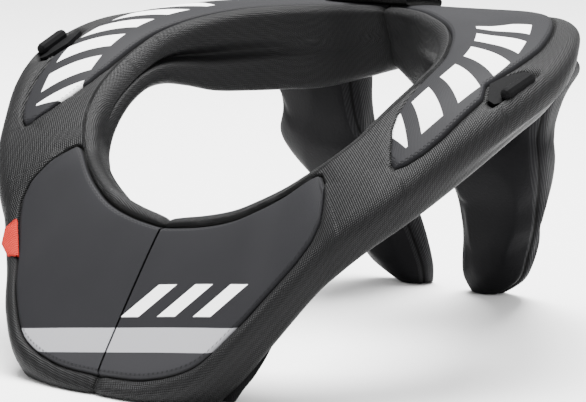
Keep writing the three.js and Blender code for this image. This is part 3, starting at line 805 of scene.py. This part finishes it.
class Surface:
    """One procedural material. Its shader's own sockets are set by name, and what changes over the
    surface is fed in afterwards."""

    def __init__(self, name, **sockets):
        self.material = bpy.data.materials.new(name)
        self.material.use_nodes = True
        self.tree = self.material.node_tree
        self.shader = next(n for n in self.tree.nodes if n.type == "BSDF_PRINCIPLED")
        for key, value in sockets.items():
            self.shader.inputs[key.replace("_", " ")].default_value = value

    def node(self, kind, settings, inputs=(), output=0):
        """Any node: its type, its settings, and its inputs in order or by socket."""
        node = self.tree.nodes.new(kind)
        for key, value in settings.items():
            setattr(node, key, value)
        pairs = inputs.items() if isinstance(inputs, dict) else enumerate(inputs)
        for key, value in pairs:
            if isinstance(value, Value):
                self.tree.links.new(value.socket, node.inputs[key])
            else:
                node.inputs[key].default_value = value
        return Value(self, node.outputs[output])

    def feed(self, name, value):
        """Links a changing value to one of the shader's sockets."""
        self.tree.links.new(value.socket, self.shader.inputs[name])

    def attribute(self, name):
        """A value that the piece's mesh holds for each of its points."""
        return self.node("ShaderNodeAttribute", {"attribute_name": name}, output="Fac")

    def weave(self):
        """Lengths along and round the piece in millimetres, from its weave coordinates."""
        lengths = self.node("ShaderNodeUVMap", {"uv_map": "weave"})
        split = [self.node("ShaderNodeSeparateXYZ", {}, (lengths,), axis) for axis in "XY"]
        return [length / MM for length in split]

    def place(self):
        """Sideways place and height on the brace, in millimetres."""
        where = self.node("ShaderNodeTexCoord", {}, output="Object")
        split = [self.node("ShaderNodeSeparateXYZ", {}, (where,), axis) for axis in "XZ"]
        return [length / MM for length in split]

    def noise(self, cells, detail=3.0):
        """Soft noise from nothing to one, with so many cells to a metre."""
        where = self.node("ShaderNodeTexCoord", {}, output="Object")
        inputs = {"Vector": where, "Scale": cells, "Detail": detail}
        return self.node("ShaderNodeTexNoise", {}, inputs, "Fac")

    def wave(self, length, place):
        """A sine wave along a place, one period over a length, between -1 and 1."""
        turns = place * (2 * math.pi / length)
        return turns.math("SINE", turns)

    def mix(self, factor, first, second):
        """A colour between two others."""
        return self.node(
            "ShaderNodeMix", {"data_type": "RGBA"}, {0: factor, 6: first, 7: second}, output=2
        )

    def bump(self, height, depth):
        """Relief: a height of one stands depth millimetres out."""
        inputs = {"Height": height, "Strength": 1.0, "Distance": depth * MM}
        self.feed("Normal", self.node("ShaderNodeBump", {}, inputs, "Normal"))


def grey(tone, blue=0.0):
    """A neutral colour, a little bluer by the second number."""
    return (tone, tone, tone * (1 + blue), 1)


def mesh_cover():
    """Black knitted mesh: a fine diamond net with open cells, a rib along its threads, and uneven
    gloss from wear. Its colour carries painted shade: near-black lines where it is drawn in at the
    seams, and at its ends by the split."""
    s = Surface("mesh_cover", Specular_IOR_Level=0.11)
    u, v = s.weave()
    net = s.wave(NET, u + v) * s.wave(NET, u - v) * 0.5 + 0.5
    rib = s.wave(NET_RIB, u * 0.6 + v) * 0.5 + 0.5
    relief = net * 0.75 + rib * 0.25
    wear = s.noise(60.0)
    # Painted shade: the colour goes near black within about 0.3 to 1.6 mm of each seam and of the
    # split ends, standing in for the shade in the grooves and the gap there.
    clear_of_painted_shade = abs(s.attribute("seam")).step(0.3, 1.6) * s.attribute("end").step(0.3, 1.6)
    color = s.mix(relief, grey(0.0012), grey(0.0085, 0.06))
    s.feed("Base Color", s.mix(clear_of_painted_shade, grey(0.0006), color))
    s.feed("Roughness", 0.62 - relief * 0.12 - wear * 0.12)
    s.bump(relief + wear * 0.15, 0.28)
    return s.material


def smooth_cloth(name, tone, prints):
    """Smooth stretch cloth: a fine twill, a stitched border, and prints of one tone on another. Its
    colour goes near black at its very edge, as painted shade where the panel dips into its pocket.
    """
    s = Surface(name, Roughness=0.6, Specular_IOR_Level=0.08)
    u, v = s.weave()
    twill = s.wave(TWILL, u + v) * 0.5 + 0.5
    soft = s.noise(30.0)
    seam = s.attribute("seam")
    color = prints(s, s.mix(soft, grey(tone * 0.85, 0.12), grey(tone * 1.15, 0.12)))
    stitch = abs(seam - STITCH_INSET).step(0.6, 0.15) * s.wave(STITCH, u).step(-0.2, 0.3)
    color = s.mix(stitch * 0.5, color, grey(0.008))
    # Painted shade: near black within about a millimetre of the border, where the panel dips into its
    # pocket.
    s.feed("Base Color", s.mix(seam.step(0.2, 1.1), grey(0.002), color))
    s.bump(twill * 0.12 + soft * 0.3 - stitch * 0.8, 0.2)
    return s.material


def chest_prints(s, color):
    """A pale straight band with slanted ends low on the chest, a darker field under it, and three
    white slashes over its left end."""
    across, height = s.place()
    slant = across - height * SLASH_LEAN
    level = height - across * BAND_TILT
    color = s.mix(level.step(*DARK_FIELD), color, grey(0.022, 0.09))
    band = level.between(*BAND_LEVELS, 0.3) * slant.between(*BAND_ENDS, 0.4)
    color = s.mix(band, color, grey(0.27, 0.05))
    slashes = s.wave(SLASH_LENGTH, slant + SLASH_SHIFT).step(0.0, 0.06)
    slashes = slashes * slant.between(*SLASH_ENDS, 0.4)
    return s.mix(slashes * level.between(*SLASH_LEVELS, 0.3), color, grey(0.9))


def shoulder_prints(s, color):
    """White slanted blocks in a row along the wing."""
    station, share = s.attribute("station"), s.attribute("share")
    blocks = s.wave(BLOCK_LENGTH, station + share * BLOCK_LEAN).step(-0.3, -0.26)
    field = share.between(*BLOCK_SHARES, 0.005) * station.between(*BLOCK_STATIONS, 0.02)
    return s.mix(blocks * field, color, grey(0.93))


def flap_cloth():
    """Black cloth on the flaps: smooth faces, and a paler ribbed strip round the side, with painted
    shade as dark lines along the seams.
    """
    s = Surface("flap_cloth", Roughness=0.6, Specular_IOR_Level=0.05)
    _, v = s.weave()
    rib = s.wave(FLAP_RIB, v) * 0.5 + 0.5
    strip = s.attribute("strip").step(0.4, 0.6)
    face = s.mix(s.noise(40.0), grey(0.002, 0.2), grey(0.005, 0.1))
    edge = s.mix(rib, grey(0.006, 0.08), grey(0.02, 0.05))
    color = s.mix(strip, face, edge)
    # Painted shade: near black within about a millimetre of each seam, where the cover is drawn into a
    # groove.
    s.feed("Base Color", s.mix(s.attribute("seam").step(0.3, 1.2), grey(0.0012), color))
    s.bump(rib * strip + s.noise(700.0, 1.0) * 0.6, 0.2)
    return s.material


def webbing(name, low, high):
    """Flat webbing: ribs across it, with a fine thread between them, from one colour to another."""
    s = Surface(name, Roughness=0.65, Specular_IOR_Level=0.1)
    u, v = s.weave()
    tone = (s.wave(WEBBING_RIB, u) * 0.6 + s.wave(WEBBING_THREAD, v) * 0.4) * 0.5 + 0.5
    s.feed("Base Color", s.mix(tone, low, high))
    s.bump(tone, 0.35)
    return s.material


def tongue_cover():
    """The tongue: dark cloth on its top, a little paler than the panels, and a black bound border
    and end."""
    s = Surface("tongue_cloth", Roughness=0.6, Specular_IOR_Level=0.1)
    u, v = s.weave()
    top = s.attribute("border").step(0.82, 0.72) * s.attribute("end").step(0.12, 0.3)
    thread = s.wave(TONGUE_THREAD, u) * s.wave(TONGUE_THREAD, v) * 0.5 + 0.5
    cloth = s.mix(thread, grey(0.011, 0.1), grey(0.018, 0.08))
    s.feed("Base Color", s.mix(top, grey(0.003), cloth))
    s.bump(thread, 0.12)
    return s.material


def rubber():
    """Matte black rubber, with fine grain."""
    s = Surface("rubber", Roughness=0.7, Specular_IOR_Level=0.04)
    grain = s.noise(1600.0, 2.0)
    s.feed("Base Color", s.mix(grain, grey(0.002), grey(0.005, 0.1)))
    s.bump(grain, 0.12)
    return s.material


def pale_floor():
    """Pale matte paper."""
    return Surface("pale_floor", Roughness=0.9, Base_Color=grey(0.97)).material


# Pieces

cover = mesh_cover()
chest_cloth = smooth_cloth("chest_cloth", 0.0115, chest_prints)
shoulder_cloth = smooth_cloth("shoulder_cloth", 0.011, shoulder_prints)
tongue_cloth = tongue_cover()
black_rubber = rubber()
flap_black = flap_cloth()

for side_name, mirror in (("left", False), ("right", True)):
    foam = foam_half(f"foam_{side_name}", mirror, cover)
    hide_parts(f"collar_{side_name}")
    chest = panel(
        f"chest_skin_{side_name}",
        CHEST_SEAMS,
        True,
        False,
        mirror,
        chest_cloth,
        CHEST_ROWS,
    )
    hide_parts(f"chest_panel_{side_name}")
    shoulder = panel(
        f"shoulder_skin_{side_name}",
        SHOULDER_SEAMS,
        False,
        True,
        mirror,
        shoulder_cloth,
        SHOULDER_ROWS,
    )
    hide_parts(f"shoulder_panel_{side_name}")
    soft_flap(f"soft_flap_{side_name}", mirror, flap_black, f"back_flap_{side_name}")
    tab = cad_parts[f"shoulder_tab_{side_name}"]
    tab.data.materials.clear()
    tab.data.materials.append(black_rubber)

tongue = rear_tongue(tongue_cloth)
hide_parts("rear_lap")
fold = webbing_strap(webbing("black_webbing", grey(0.004), grey(0.014, 0.08)))
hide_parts("chest_strap_left")
loop = red_loop(webbing("red_webbing", (0.25, 0.013, 0.009, 1), (0.48, 0.026, 0.016, 1)))
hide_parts("red_pull_right")

# Floor, light and camera

low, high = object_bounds()
reach = FLOOR_SIZES * (high - low).length
bpy.ops.mesh.primitive_plane_add(size=reach, location=(0, 0, -FLOOR_DROP))
ground = bpy.context.object
ground.name = "pale_floor"
ground.data.materials.append(pale_floor())

world = bpy.data.worlds.new("studio")
bpy.context.scene.world = world
world.use_nodes = True
world.node_tree.nodes["Background"].inputs["Color"].default_value = (1, 1, 1, 1)
world.node_tree.nodes["Background"].inputs["Strength"].default_value = WORLD_LIGHT


def softbox(name, place, size, watts):
    """A square lamp that looks at the middle of the brace, its place and size in metres."""
    lamp = bpy.data.lights.new(name, "AREA")
    lamp.shape, lamp.size, lamp.energy = "SQUARE", size, watts
    holder = bpy.data.objects.new(name, lamp)
    bpy.context.scene.collection.objects.link(holder)
    holder.location = place
    target = Vector((0, 0, COLLAR_HEIGHT * MM / 2))
    holder.rotation_euler = (target - Vector(place)).to_track_quat("-Z", "Y").to_euler()


softbox("top_light", (-0.15, 0.3, 2.0), 1.5, 230.0)
softbox("left_light", (1.6, -0.2, 0.9), 0.8, 16.0)

# The photo's camera
turn, tilt = math.radians(CAMERA_BEARING), math.radians(CAMERA_RISE)
back = Vector((math.sin(turn) * math.cos(tilt), -math.cos(turn) * math.cos(tilt), math.sin(tilt)))
look = Vector((0, (LOOK_BACK - BACK_SHIFT) * MM, LOOK_HEIGHT * MM))
camera_data = bpy.data.cameras.new("camera")
camera_data.lens, camera_data.sensor_width = CAMERA_LENS, CAMERA_SENSOR
camera = bpy.data.objects.new("camera", camera_data)
bpy.context.scene.collection.objects.link(camera)
camera.location = look + back * CAMERA_DISTANCE
camera.rotation_euler = back.to_track_quat("Z", "Y").to_euler()
bpy.context.scene.camera = camera
